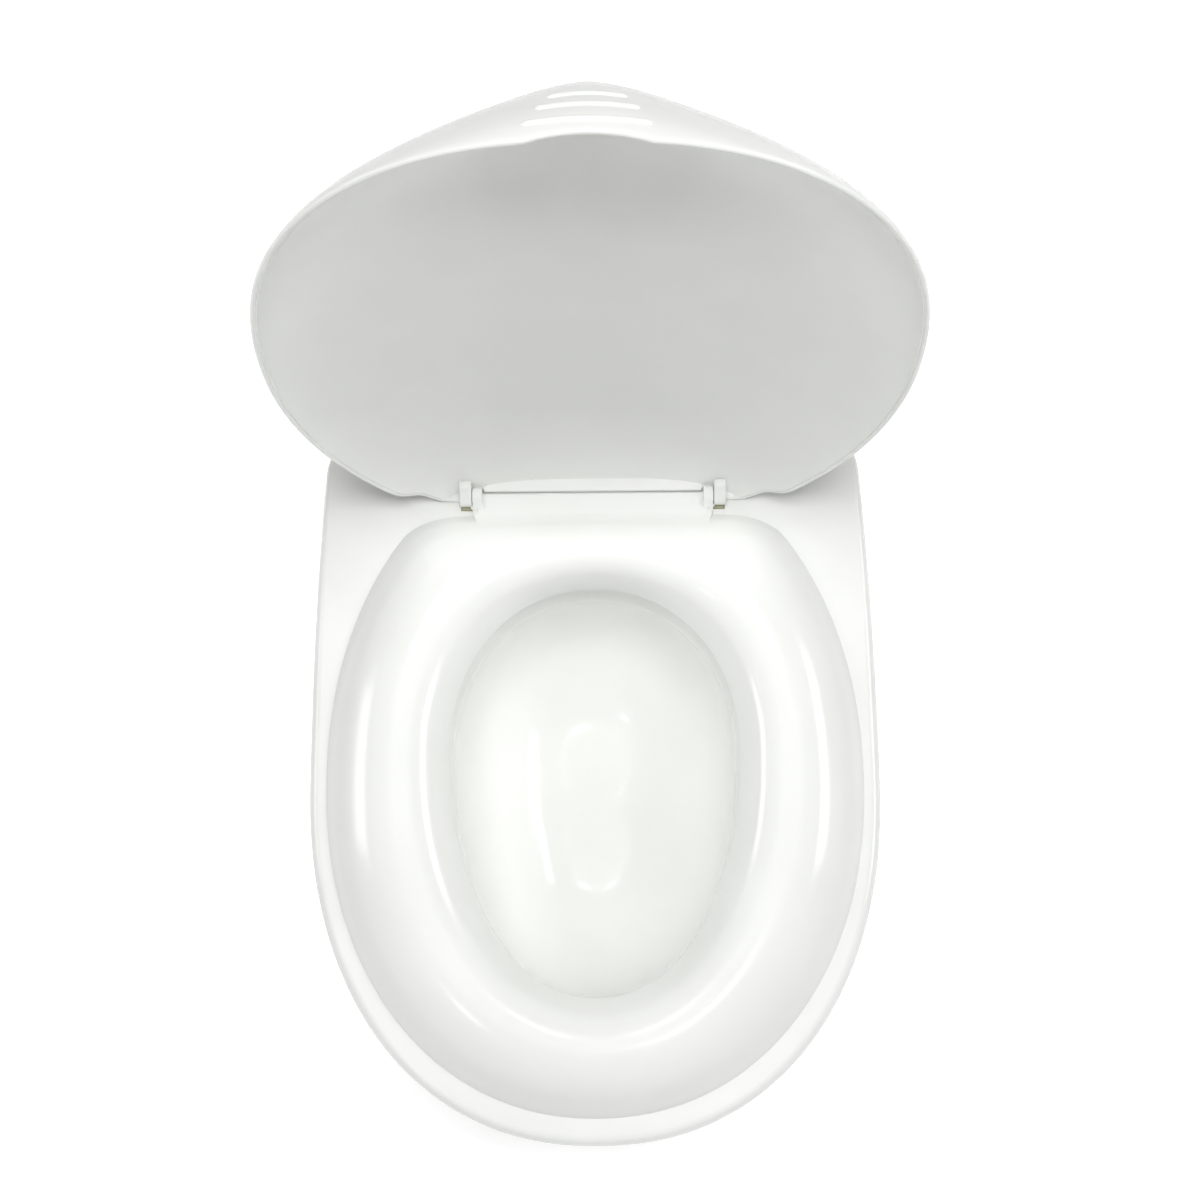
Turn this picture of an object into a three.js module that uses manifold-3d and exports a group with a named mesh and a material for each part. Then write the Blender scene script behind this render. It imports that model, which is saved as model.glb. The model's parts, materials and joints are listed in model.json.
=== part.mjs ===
// A lidded commode pan: a skirted base shell, a lift-out pan, a seat ring that drops over the pan,
// and a domed lid on two short hinge pins. Millimetres, +Z up, front towards -Y.
// The origin is on the floor, at the centre of the space that the unit takes up with its lid open.

import * as THREE from 'three';
import { mergeVertices } from 'three/addons/utils/BufferGeometryUtils.js';
import Module from 'manifold-3d';

const wasm = await Module();
wasm.setup();

// Driving dimensions.
const GAP = 0.3;              // clearance between pieces that touch
const DECK_Z = 140;           // top of the base deck above the floor
const HINGE_Y = 121.7;        // hinge axis behind the origin
const HINGE_RISE = 5.5;       // hinge axis above the deck
const LID_OPEN = THREE.MathUtils.degToRad(98.17);

// Plan outlines are eggs about the line y = HINGE_Y - line: half width, reach forwards and
// backwards from that line, and squareness in front of it and behind it.
const BASE_PLAN = { line: 148, half: 146.2, front: 181, back: 540, power: 2.2, rearPower: 2.2 };
const RING_PLAN = { line: 148, half: 137.3, front: 167.5, back: 178, power: 2.12, rearPower: 2.12 };
const MOUTH_PLAN = { line: 134, half: 74.5, front: 123.5, back: 85, power: 2.1, rearPower: 2.1 };
const LID_PLAN = { line: 150, half: 147.5, front: 181, back: 191, power: 2.3, rearPower: 2 };
const POLE_LINE = 148;        // the outlines are cast as rays from this far ahead of the hinge axis
const FAR = 400;              // beyond every outline

const BASE_REAR = 46;         // rear edge of the base behind the hinge axis
const BASE_CORNER = 30;       // plan radius of the rear corners
const BASE_EDGE = 5;          // rounding of the deck edge
const BASE_FLARE = 4;         // how far the skirt spreads from the deck down to the floor
const BASE_WALL = 3;
const RIB_DEPTH = 22;         // stiffening ribs under the deck
const RIB_THICK = 2.4;
const RIB_START = 6;          // ribs start this far outside the hole in the deck
const RIB_ANGLES = [-135, -90, -45, 0, 42, 90, 138, 180];

const RING_REAR = -9;         // rear edge of the ring, ahead of the hinge axis
const RING_CORNER = 12;
const RING_WALL = 3;
// Height of the ring's top above the deck, from its mouth (0) to its outer foot (1).
const RING_TOP = [
  [0, GAP], [0.03, 4], [0.08, 8.8], [0.16, 14], [0.28, 17.4], [0.45, 18.6],
  [0.62, 17.2], [0.78, 12.6], [0.9, 6.8], [0.97, 2.4], [1, GAP],
];
const TONGUE_HALF = 58.2;     // the ring's rear tongue lies between its hinge ears
const TONGUE_REAR = 2.6;
const TONGUE_THICK = 4.6;
const TONGUE_LIFT = 0.5;      // its underside above the deck

const PAN_DEPTH = 96;
const PAN_WALL = 2.6;
const PAN_SETBACK = 7.5;      // the pan's wall stands this far outside the ring's mouth
const PAN_FLANGE = 15;
const PAN_TAPER = 7;          // how much narrower the pan is near its floor
const PAN_FLOOR_RADIUS = 66;  // nearly all of the pan is round below its rim
const PAN_CLEARANCE = 3;      // between the pan and the hole in the deck

const LID_WALL = 2.6;
const LID_RIM_Z = 0.5;        // rim plane above the deck when shut
const DOME_HEIGHT = 41.9;
const DOME_POWER = 3.06;
const DOME_REAR_POWER = 2.7;  // the dome falls away sooner towards its rear wall
const DOME_EASE = 110;        // length over which it changes
const DIP = { depth: 6, half: 55, length: 45 };  // flattens the top of the rear wall
const DOME_ROUNDNESS = 1.367;
const NOSE_HEIGHT = 25.6;     // the nose swells out of the dome towards the front
const NOSE_HALF = 56.4;
const NOSE_CENTRE = 285;      // ahead of the hinge axis
const NOSE_FRONT = 58;
const NOSE_REAR = 55;
const NOSE_POWER = 1.62;
const NOSE_EDGE_POWER = 40;   // how squarely the nose meets the rim
const CHORD_REACH = 5.2;      // flat rear wall of the lid, behind the hinge axis
const NOTCH_HALF = 23.5;      // finger notch in the front rim
const NOTCH_RISE = 3.5;
const NOTCH_LENGTH = 30;
const GRIP_BARS = [           // raised bars on the nose: height above the rim, half length
  { height: 10, half: 24 }, { height: 18.3, half: 19.5 }, { height: 25.8, half: 15 },
];
const GRIP_RADIUS = 1.4;
const GRIP_SINK = 0.4;
const GRIP_DROOP = 1.6;       // how far the ends of a bar hang below its middle
const RIM_RELIEFS = [         // rear rim cut back over the hinge: half width, height above the deck
  { half: 92, top: 2.3 }, { half: 89, top: 4.8 }, { half: 63.3, top: 9.5 },
];
const EAR_ROOM = { inner: 57.6, outer: 63.3, top: 11.3 };  // deeper cut over each hinge ear
const RELIEF = { front: 8, rear: 14, below: 20 };  // reach of the reliefs about the hinge axis

const PIN_RADIUS = 2;
const BARREL_RADIUS = 5;
const EAR_INNER = 57.9;       // the ring's hinge ears stand beside its tongue
const EAR_OUTER = 63.1;
const EAR_FRONT = 8.5;        // how far an ear's foot runs ahead of the axis
const EAR_FOOT = 2.5;         // height of that foot above the deck
const KNUCKLE_INNER = 63.4;
const KNUCKLE_THICK = 6.3;
const KNUCKLE_LUG = { radius: 3.6, ahead: 4.6, up: 3.4 };  // ties the knuckle to the rear wall
const PIN_INNER = 58.9;

const BUFFER = { inner: 63.7, outer: 69.1, front: 5.7, rear: 3, proud: 0.2 };
const BUFFER_SHOULDER = { width: 1, thick: 2 };  // holds each buffer under the deck

const PAD_HEIGHT = 3;
const PAD_RADIUS = 8;
const PAD_STEM_RADIUS = 3;
const PAD_STEM = 6;
const PAD_BOSS_RADIUS = 9;
const PAD_BOSS_HEIGHT = 16;
const PAD_ANGLES = [-48, -132, 52, 128];
const PAD_INSET = 10;         // pad centre inside the outer face of the skirt

const LOOP_POINTS = 56;       // points round each plan outline
const POLE_Y = HINGE_Y - POLE_LINE;
const AXIS_Z = DECK_Z + HINGE_RISE;

const plastic = (name, color, roughness = 0.22) =>
  new THREE.MeshStandardMaterial({ name, color, roughness, metalness: 0 });
const WHITE = 0xf4f5f4;
const KHAKI = 0xb9b793;
const STEEL = 0xb9bcc0;
const RUBBER = 0x8c8f92;

// ---- plan outlines ----

// 0 at the middle of a plan and 1 on its outline, at x and at a distance ahead of the hinge axis.
function eggLevel(plan, x, ahead) {
  const inFront = ahead > plan.line;
  const reach = inFront ? plan.front : plan.back;
  const power = inFront ? plan.power : plan.rearPower;
  const sum = Math.abs(x / plan.half) ** power + Math.abs((ahead - plan.line) / reach) ** power;
  return sum ** (1 / power);
}

const eggDistance = (plan, x, y) => (eggLevel(plan, x, HINGE_Y - y) - 1) * plan.half;

// Where two outlines meet, the corner between them is rounded.
function roundedCut(a, b, radius) {
  const outside = Math.hypot(Math.max(a + radius, 0), Math.max(b + radius, 0));
  return Math.min(Math.max(a, b), -radius) + outside;
}

const baseDistance = (x, y) =>
  roundedCut(eggDistance(BASE_PLAN, x, y), y - HINGE_Y - BASE_REAR, BASE_CORNER);
const ringDistance = (x, y) =>
  roundedCut(eggDistance(RING_PLAN, x, y), y - HINGE_Y - RING_REAR, RING_CORNER);
const mouthDistance = (x, y) => eggDistance(MOUTH_PLAN, x, y);
const lidDistance = (x, y) => eggDistance(LID_PLAN, x, y);

function radiusAt(distance, angle) {
  let near = 0;
  let far = FAR;
  for (let step = 0; step < 40; step += 1) {
    const middle = (near + far) / 2;
    if (distance(Math.cos(angle) * middle, POLE_Y + Math.sin(angle) * middle) < 0) near = middle;
    else far = middle;
  }
  return near;
}

// Angles that space the base outline evenly, so that its corners keep enough points.
function evenAngles(distance, count) {
  const fine = 3600;
  const points = Array.from({ length: fine + 1 }, (_, i) => {
    const angle = (i / fine) * 2 * Math.PI;
    const radius = radiusAt(distance, angle);
    return new THREE.Vector2(Math.cos(angle) * radius, Math.sin(angle) * radius);
  });
  const travelled = [0];
  for (let i = 1; i <= fine; i += 1) {
    travelled.push(travelled[i - 1] + points[i].distanceTo(points[i - 1]));
  }
  const angles = [];
  let next = 0;
  for (let i = 0; i <= fine && angles.length < count; i += 1) {
    if (travelled[i] < next) continue;
    angles.push((i / fine) * 2 * Math.PI);
    next += travelled[fine] / count;
  }
  return angles;
}

const ANGLES = evenAngles(baseDistance, LOOP_POINTS);
const BASE_RADII = ANGLES.map((angle) => radiusAt(baseDistance, angle));
const RING_RADII = ANGLES.map((angle) => radiusAt(ringDistance, angle));
const MOUTH_RADII = ANGLES.map((angle) => radiusAt(mouthDistance, angle));
const LID_RADII = ANGLES.map((angle) => radiusAt(lidDistance, angle));

function loop(radii, offset, z) {
  return ANGLES.map((angle, i) => new THREE.Vector3(
    Math.cos(angle) * (radii[i] + offset),
    POLE_Y + Math.sin(angle) * (radii[i] + offset),
    z,
  ));
}

// ---- meshes and solids ----

function meshGeometry(points, triangles) {
  const geometry = new THREE.BufferGeometry();
  const numbers = points.flatMap((point) => point.toArray());
  geometry.setAttribute('position', new THREE.Float32BufferAttribute(numbers, 3));
  geometry.setIndex(triangles);
  return geometry;
}

// Joins successive loops with a skin. The last loop joins the first, or both ends are closed by fans.
function skin(loops, endsMeet) {
  const count = ANGLES.length;
  const points = loops.flat();
  const triangles = [];
  const strips = endsMeet ? loops.length : loops.length - 1;
  for (let row = 0; row < strips; row += 1) {
    const here = row * count;
    const there = ((row + 1) % loops.length) * count;
    for (let i = 0; i < count; i += 1) {
      const j = (i + 1) % count;
      triangles.push(here + i, here + j, there + j, here + i, there + j, there + i);
    }
  }
  if (!endsMeet) {
    const last = (loops.length - 1) * count;
    const first = points.push(centre(loops[0])) - 1;
    const final = points.push(centre(loops[loops.length - 1])) - 1;
    for (let i = 0; i < count; i += 1) {
      const j = (i + 1) % count;
      triangles.push(first, j, i, final, last + i, last + j);
    }
  }
  return meshGeometry(points, triangles);
}

function centre(points) {
  const sum = points.reduce((total, p) => total.add(p), new THREE.Vector3());
  return sum.divideScalar(points.length);
}

function solid(geometry) {
  const bare = geometry.clone();
  bare.deleteAttribute('normal');
  bare.deleteAttribute('uv');
  const merged = mergeVertices(bare, 1e-4);
  return new wasm.Manifold(new wasm.Mesh({
    numProp: 3,
    vertProperties: new Float32Array(merged.attributes.position.array),
    triVerts: new Uint32Array(merged.index.array),
  }));
}

function surface(body) {
  const mesh = body.getMesh();
  const geometry = new THREE.BufferGeometry();
  const positions = new THREE.BufferAttribute(new Float32Array(mesh.vertProperties), 3);
  geometry.setAttribute('position', positions);
  geometry.setIndex(new THREE.BufferAttribute(new Uint32Array(mesh.triVerts), 1));
  return geometry;
}

// A block between two corners, as a solid.
function block(low, high) {
  const size = high.map((value, i) => value - low[i]);
  const middle = high.map((value, i) => (value + low[i]) / 2);
  return solid(new THREE.BoxGeometry(...size).translate(...middle));
}

// A round bar along X, from one x to another.
function barX(radius, fromX, toX, y, z, sides = 24) {
  const geometry = new THREE.CylinderGeometry(radius, radius, toX - fromX, sides);
  return solid(geometry.rotateZ(Math.PI / 2).translate((fromX + toX) / 2, y, z));
}

// A round bar along Z, from one z to another.
function barZ(radius, x, y, fromZ, toZ, sides = 20) {
  const geometry = new THREE.CylinderGeometry(radius, radius, toZ - fromZ, sides);
  return solid(geometry.rotateX(Math.PI / 2).translate(x, y, (fromZ + toZ) / 2));
}

// ---- base shell ----

const HOLE_OFFSET = PAN_SETBACK + PAN_WALL + PAN_CLEARANCE;

function padPlace(degrees) {
  const angle = THREE.MathUtils.degToRad(degrees);
  const radius = radiusAt(baseDistance, angle) + BASE_FLARE - PAD_INSET;
  return { x: Math.cos(angle) * radius, y: POLE_Y + Math.sin(angle) * radius };
}

// A block on one side of the hinge with a buffer's outline, grown by a margin.
function bufferBlock(side, margin, fromZ, toZ) {
  const edges = [side * (BUFFER.inner - margin), side * (BUFFER.outer + margin)].sort((a, b) => a - b);
  return block(
    [edges[0], HINGE_Y - BUFFER.front - margin, fromZ],
    [edges[1], HINGE_Y - BUFFER.rear + margin, toZ],
  );
}

function baseShell() {
  const rounding = [0, 30, 60, 90].map(THREE.MathUtils.degToRad).map((turn) => loop(
    BASE_RADII,
    BASE_EDGE * (Math.sin(turn) - 1),
    DECK_Z + BASE_EDGE * (Math.cos(turn) - 1),
  ));
  let shell = solid(skin([
    loop(MOUTH_RADII, HOLE_OFFSET, DECK_Z - BASE_WALL),
    loop(MOUTH_RADII, HOLE_OFFSET, DECK_Z),
    ...rounding,
    loop(BASE_RADII, BASE_FLARE, PAD_HEIGHT),
    loop(BASE_RADII, BASE_FLARE - BASE_WALL, PAD_HEIGHT),
    loop(BASE_RADII, -BASE_WALL, DECK_Z - BASE_EDGE),
    loop(BASE_RADII, -BASE_WALL - 1.5, DECK_Z - BASE_WALL),
  ].reverse(), true));

  for (const degrees of RIB_ANGLES) {
    const angle = THREE.MathUtils.degToRad(degrees);
    const inner = radiusAt(mouthDistance, angle) + HOLE_OFFSET + RIB_START;
    const outer = radiusAt(baseDistance, angle) - BASE_WALL / 2;
    const rib = new THREE.BoxGeometry(outer - inner, RIB_THICK, RIB_DEPTH)
      .translate((outer + inner) / 2, 0, DECK_Z - BASE_WALL + 1 - RIB_DEPTH / 2)
      .rotateZ(angle)
      .translate(0, POLE_Y, 0);
    shell = shell.add(solid(rib));
  }

  for (const degrees of PAD_ANGLES) {
    const { x, y } = padPlace(degrees);
    shell = shell.add(barZ(PAD_BOSS_RADIUS, x, y, PAD_HEIGHT, PAD_HEIGHT + PAD_BOSS_HEIGHT));
    shell = shell.subtract(barZ(PAD_STEM_RADIUS + GAP, x, y, 0, PAD_HEIGHT + PAD_STEM + GAP));
  }

  for (const side of [-1, 1]) {
    shell = shell.subtract(bufferBlock(side, GAP, DECK_Z - BASE_WALL - 1, DECK_Z + 1));
  }
  return surface(shell);
}

// ---- pan ----

function pan() {
  const lip = DECK_Z + GAP + PAN_WALL;
  const bendZ = DECK_Z - PAN_DEPTH + PAN_FLOOR_RADIUS;
  const bend = [0, 18, 36, 54, 72, 90].map(THREE.MathUtils.degToRad);
  const inside = bend.map((turn) => loop(
    MOUTH_RADII,
    PAN_SETBACK - PAN_TAPER - PAN_FLOOR_RADIUS * (1 - Math.cos(turn)),
    bendZ - PAN_FLOOR_RADIUS * Math.sin(turn),
  ));
  const outerRadius = PAN_FLOOR_RADIUS + PAN_WALL;
  const outside = bend.map((turn) => loop(
    MOUTH_RADII,
    PAN_SETBACK + PAN_WALL - PAN_TAPER - outerRadius * (1 - Math.cos(turn)),
    bendZ - outerRadius * Math.sin(turn),
  ));
  return skin([
    ...inside.reverse(),
    loop(MOUTH_RADII, PAN_SETBACK, lip),
    loop(MOUTH_RADII, PAN_SETBACK + PAN_FLANGE, lip),
    loop(MOUTH_RADII, PAN_SETBACK + PAN_FLANGE, DECK_Z + GAP),
    loop(MOUTH_RADII, PAN_SETBACK + PAN_WALL, DECK_Z + GAP),
    ...outside,
  ].reverse(), false);
}

// ---- seat ring ----

// A loop part of the way from the ring's mouth (0) to its outer foot (1).
function ringLoop(part, z) {
  const radii = ANGLES.map((_, i) => THREE.MathUtils.lerp(MOUTH_RADII[i], RING_RADII[i], part));
  return loop(radii, 0, z);
}

function seatRing() {
  const width = RING_PLAN.half - MOUTH_PLAN.half;
  const wall = RING_WALL / width;
  const top = RING_TOP.map(([part, rise]) => ringLoop(part, DECK_Z + rise));
  const under = RING_TOP.slice(1, -1).map(([part, rise], i) => {
    const [partBefore, riseBefore] = RING_TOP[i];
    const [partAfter, riseAfter] = RING_TOP[i + 2];
    const run = (partAfter - partBefore) * width;
    const slope = new THREE.Vector2(run, riseAfter - riseBefore).normalize();
    return ringLoop(part + slope.y * wall, DECK_Z + rise - slope.x * RING_WALL);
  });
  const ring = solid(skin([
    ...top,
    ringLoop(1 - wall, DECK_Z + GAP),
    ...under.reverse(),
    ringLoop(wall, DECK_Z + RING_TOP[0][1]),
  ].reverse(), true));
  const tongue = block(
    [-TONGUE_HALF, HINGE_Y + RING_REAR - 2, DECK_Z + TONGUE_LIFT],
    [TONGUE_HALF, HINGE_Y + TONGUE_REAR, DECK_Z + TONGUE_THICK],
  );
  let body = ring.add(tongue);
  for (const side of [-1, 1]) {
    const [left, right] = [side * EAR_INNER, side * EAR_OUTER].sort((a, b) => a - b);
    const foot = block(
      [left, HINGE_Y - EAR_FRONT, DECK_Z + GAP],
      [right, HINGE_Y + BARREL_RADIUS - 1, DECK_Z + EAR_FOOT],
    );
    const barrel = barX(BARREL_RADIUS, left, right, HINGE_Y, AXIS_Z);
    body = body.add(wasm.Manifold.hull([foot, barrel]));
    const [from, to] = [side * (PIN_INNER - GAP), side * (EAR_OUTER + 1)].sort((a, b) => a - b);
    body = body.subtract(barX(PIN_RADIUS + GAP, from, to, HINGE_Y, AXIS_Z));
  }
  return surface(body);
}

// ---- lid, drawn shut about its hinge axis ----

const RIM_Z = LID_RIM_Z - HINGE_RISE;

// Height of the dome above its rim, at x and at a distance ahead of the hinge axis.
function domeHeight(x, ahead) {
  const level = Math.min(eggLevel(LID_PLAN, x, ahead), 1);
  const behind = THREE.MathUtils.smoothstep(LID_PLAN.line - ahead, 0, DOME_EASE);
  const power = THREE.MathUtils.lerp(DOME_POWER, DOME_REAR_POWER, behind);
  const dome = DOME_HEIGHT * (1 - level ** power) ** (1 / DOME_ROUNDNESS);
  const dip = DIP.depth * Math.exp(-((x / DIP.half) ** 2))
    * THREE.MathUtils.smoothstep(-ahead, -DIP.length, 0);
  const length = ahead > NOSE_CENTRE ? NOSE_FRONT : NOSE_REAR;
  const nose = NOSE_HEIGHT
    * Math.exp(-(Math.abs(x / NOSE_HALF) ** NOSE_POWER))
    * Math.exp(-(((ahead - NOSE_CENTRE) / length) ** 2))
    * Math.sqrt(1 - level ** NOSE_EDGE_POWER);
  return dome + nose - dip;
}

function domeSolid(inset) {
  const steps = 10;
  const loops = [];
  for (let step = 1; step <= steps; step += 1) {
    const level = Math.sin((step / steps) * (Math.PI / 2)) ** 0.8;
    loops.push(ANGLES.map((angle, i) => {
      const x = Math.cos(angle) * LID_RADII[i] * level;
      const y = POLE_Y - HINGE_Y + Math.sin(angle) * LID_RADII[i] * level;
      const pull = 1 - (inset / LID_RADII[i]);
      const pulledY = POLE_Y - HINGE_Y + Math.sin(angle) * LID_RADII[i] * level * pull;
      return new THREE.Vector3(x * pull, pulledY, RIM_Z + domeHeight(x, -y) - inset);
    }));
  }
  return solid(skin(loops.reverse(), false));
}

// Everything behind the flat rear wall.
function behindChord(reach) {
  const depth = 120;
  return solid(new THREE.BoxGeometry(FAR, depth, FAR)
    .translate(0, reach + depth / 2, 0)
    .rotateX(LID_OPEN - Math.PI / 2));
}

// Distance ahead of the hinge axis at which the front of the dome has a given height.
function noseFront(x, height) {
  let near = NOSE_CENTRE;
  let far = LID_PLAN.line + LID_PLAN.front;
  for (let step = 0; step < 30; step += 1) {
    const middle = (near + far) / 2;
    if (domeHeight(x, middle) > height) near = middle;
    else far = middle;
  }
  return near;
}

function gripBar({ height, half }) {
  const points = [-1, -0.67, -0.33, 0, 0.33, 0.67, 1].map((part) => {
    const x = part * half;
    const rise = height - GRIP_DROOP * part * part;
    return new THREE.Vector3(x, -noseFront(x, rise) + GRIP_SINK, RIM_Z + rise);
  });
  const section = new THREE.Shape().absarc(0, 0, GRIP_RADIUS, 0, 2 * Math.PI);
  return solid(new THREE.ExtrudeGeometry(section, {
    steps: 12,
    curveSegments: 8,
    bevelEnabled: false,
    extrudePath: new THREE.CatmullRomCurve3(points),
  }));
}

// What a relief removes from the rear rim, between two x, up to a height above the deck.
function reliefBlock(left, right, top) {
  return block([left, -RELIEF.front, -RELIEF.below], [right, RELIEF.rear, top - HINGE_RISE]);
}

function lid() {
  let shell = domeSolid(0).subtract(behindChord(CHORD_REACH));
  const hollow = domeSolid(LID_WALL).subtract(behindChord(CHORD_REACH - LID_WALL));
  shell = shell.subtract(hollow);

  for (const { half, top } of RIM_RELIEFS) {
    shell = shell.subtract(reliefBlock(-half, half, top));
  }
  for (const side of [-1, 1]) {
    const [left, right] = [side * EAR_ROOM.inner, side * EAR_ROOM.outer].sort((a, b) => a - b);
    shell = shell.subtract(reliefBlock(left, right, EAR_ROOM.top));
  }
  const notchRadius = (NOTCH_HALF ** 2 + NOTCH_RISE ** 2) / (2 * NOTCH_RISE);
  const notch = new THREE.CylinderGeometry(notchRadius, notchRadius, NOTCH_LENGTH, 96)
    .translate(0, -(LID_PLAN.line + LID_PLAN.front), RIM_Z + NOTCH_RISE - notchRadius);
  shell = shell.subtract(solid(notch));
  for (const bar of GRIP_BARS) {
    shell = shell.add(gripBar(bar));
  }
  for (const side of [-1, 1]) {
    const ends = [side * KNUCKLE_INNER, side * (KNUCKLE_INNER + KNUCKLE_THICK)];
    const [left, right] = ends.sort((a, b) => a - b);
    const barrel = barX(BARREL_RADIUS, left, right, 0, 0);
    const lug = barX(KNUCKLE_LUG.radius, left, right, -KNUCKLE_LUG.ahead, KNUCKLE_LUG.up);
    shell = shell.add(wasm.Manifold.hull([barrel, lug]));
    shell = shell.subtract(barX(PIN_RADIUS + GAP, left - 1, right + 1, 0, 0));
  }
  return surface(shell);
}

// ---- pins, buffers and foot pads ----

function hingePin() {
  const length = KNUCKLE_INNER + KNUCKLE_THICK - GAP - PIN_INNER;
  return new THREE.CylinderGeometry(PIN_RADIUS, PIN_RADIUS, length, 24).rotateZ(Math.PI / 2);
}

// A rubber buffer let into the deck under each lid knuckle, with a shoulder below the deck.
function lidBuffer(side) {
  const under = DECK_Z - BASE_WALL - GAP;
  const head = bufferBlock(side, 0, under - 1, DECK_Z + BUFFER.proud);
  const shoulder = bufferBlock(side, BUFFER_SHOULDER.width, under - BUFFER_SHOULDER.thick, under);
  return surface(head.add(shoulder));
}

// A foot pad on the floor, with a stem that plugs into its boss.
function footPad() {
  return new THREE.LatheGeometry([
    new THREE.Vector2(0, 0),
    new THREE.Vector2(PAD_RADIUS - 1, 0),
    new THREE.Vector2(PAD_RADIUS, 1),
    new THREE.Vector2(PAD_RADIUS, PAD_HEIGHT - GAP),
    new THREE.Vector2(PAD_STEM_RADIUS, PAD_HEIGHT - GAP),
    new THREE.Vector2(PAD_STEM_RADIUS, PAD_HEIGHT + PAD_STEM - GAP),
    new THREE.Vector2(0, PAD_HEIGHT + PAD_STEM - GAP),
  ], 16).rotateX(Math.PI / 2);
}

// ---- assembly ----

const unit = new THREE.Group();

function place(name, geometry, material, position = [0, 0, 0]) {
  const mesh = new THREE.Mesh(geometry, material);
  mesh.name = name;
  mesh.position.set(...position);
  unit.add(mesh);
  return mesh;
}

place('base_shell', baseShell(), plastic('base_plastic', WHITE));
place('pan', pan(), plastic('pan_plastic', WHITE, 0.16));
place('seat_ring', seatRing(), plastic('seat_plastic', WHITE, 0.18));
const lidMesh = place('lid', lid(), plastic('lid_plastic', WHITE, 0.2), [0, HINGE_Y, AXIS_Z]);
lidMesh.rotation.x = -LID_OPEN;

for (const [name, side] of [['left', -1], ['right', 1]]) {
  const pinX = side * (PIN_INNER + KNUCKLE_INNER + KNUCKLE_THICK - GAP) / 2;
  place(`hinge_pin_${name}`, hingePin(), plastic('pin_steel', STEEL, 0.3), [pinX, HINGE_Y, AXIS_Z]);
  place(`lid_buffer_${name}`, lidBuffer(side), plastic('buffer_rubber', KHAKI, 0.6));
}

const PAD_NAMES = ['front_right', 'front_left', 'rear_right', 'rear_left'];
PAD_ANGLES.forEach((degrees, i) => {
  const { x, y } = padPlace(degrees);
  place(`foot_pad_${PAD_NAMES[i]}`, footPad(), plastic('pad_rubber', RUBBER, 0.8), [x, y, 0]);
});

export default unit;
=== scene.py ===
"""A lidded commode pan: refined meshes, procedural plastics, a white studio and the camera,
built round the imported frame. Lengths in the shape code are millimetres in the hinge frame:
x to the right, y behind the hinge axis, z above the base deck."""

import json
import math

import bmesh
import bpy
import numpy as np
from mathutils import Matrix, Quaternion, Vector


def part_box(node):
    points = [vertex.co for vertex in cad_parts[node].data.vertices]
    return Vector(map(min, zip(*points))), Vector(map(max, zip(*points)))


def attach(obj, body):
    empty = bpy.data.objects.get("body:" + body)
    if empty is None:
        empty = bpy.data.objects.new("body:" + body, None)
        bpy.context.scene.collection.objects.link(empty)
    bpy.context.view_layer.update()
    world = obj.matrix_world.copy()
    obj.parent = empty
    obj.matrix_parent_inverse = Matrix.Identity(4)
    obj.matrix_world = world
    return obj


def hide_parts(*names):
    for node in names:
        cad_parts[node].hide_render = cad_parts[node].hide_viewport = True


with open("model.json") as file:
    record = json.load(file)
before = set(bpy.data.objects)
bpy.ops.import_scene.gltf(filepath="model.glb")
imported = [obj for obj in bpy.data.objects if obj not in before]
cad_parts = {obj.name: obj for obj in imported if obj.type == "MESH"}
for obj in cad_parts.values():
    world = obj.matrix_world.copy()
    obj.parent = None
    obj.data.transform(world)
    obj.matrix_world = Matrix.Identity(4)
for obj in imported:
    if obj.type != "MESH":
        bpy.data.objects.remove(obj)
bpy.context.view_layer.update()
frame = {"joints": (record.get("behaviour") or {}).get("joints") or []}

MM = 0.001
LID_HINGE = next(joint for joint in frame["joints"] if joint["name"] == "lid_hinge")
HINGE = Vector(LID_HINGE["pos_m"])
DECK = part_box("base_shell")[1].z
HINGE_RISE = (HINGE.z - DECK) / MM
LID_OPEN = math.radians(98.17)
GAP = 0.3

# ---- plan outlines: eggs about the line y = -line ----

BASE_PLAN = dict(line=148, half=146.2, front=181, back=540, power=2.2, rear_power=2.2)
RING_PLAN = dict(line=148, half=137.3, front=167.5, back=178, power=2.12, rear_power=2.12)
MOUTH_PLAN = dict(line=134, half=74.5, front=123.5, back=85, power=2.1, rear_power=2.1)
LID_PLAN = dict(line=150, half=147.5, front=181, back=191, power=2.3, rear_power=2)
POLE_Y = -148
FAR = 400.0
HALVINGS = 40
OUTLINE_SAMPLES = 7201


def egg_level(plan, x, y):
    """0 at the plan's middle, 1 on its outline."""
    dy = y + plan["line"]
    reach = np.where(dy < 0, plan["front"], plan["back"])
    power = np.where(dy < 0, plan["power"], plan["rear_power"])
    return (np.abs(x / plan["half"]) ** power + np.abs(dy / reach) ** power) ** (1 / power)


def egg_distance(plan, x, y):
    return (egg_level(plan, x, y) - 1) * plan["half"]


def rounded_cut(a, b, radius):
    """Both distances negative, with a rounded corner between them."""
    outside = np.hypot(np.maximum(a + radius, 0), np.maximum(b + radius, 0))
    return np.minimum(np.maximum(a, b), -radius) + outside


def smooth_max(a, b, width):
    blend = np.maximum(width - np.abs(a - b), 0) / width
    return np.maximum(a, b) + blend * blend * width / 4


def smooth_min(a, b, width):
    return -smooth_max(-a, -b, width)


def smoothstep(low, high, value):
    t = np.clip((value - low) / (high - low), 0, 1)
    return t * t * (3 - 2 * t)


def cast(distance, angles):
    """Radius from the pole at which each ray leaves an outline."""
    near = np.zeros_like(angles)
    far = np.full_like(angles, FAR)
    for _ in range(HALVINGS):
        middle = (near + far) / 2
        inside = distance(np.cos(angles) * middle, POLE_Y + np.sin(angles) * middle) < 0
        near = np.where(inside, middle, near)
        far = np.where(inside, far, middle)
    return near


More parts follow.
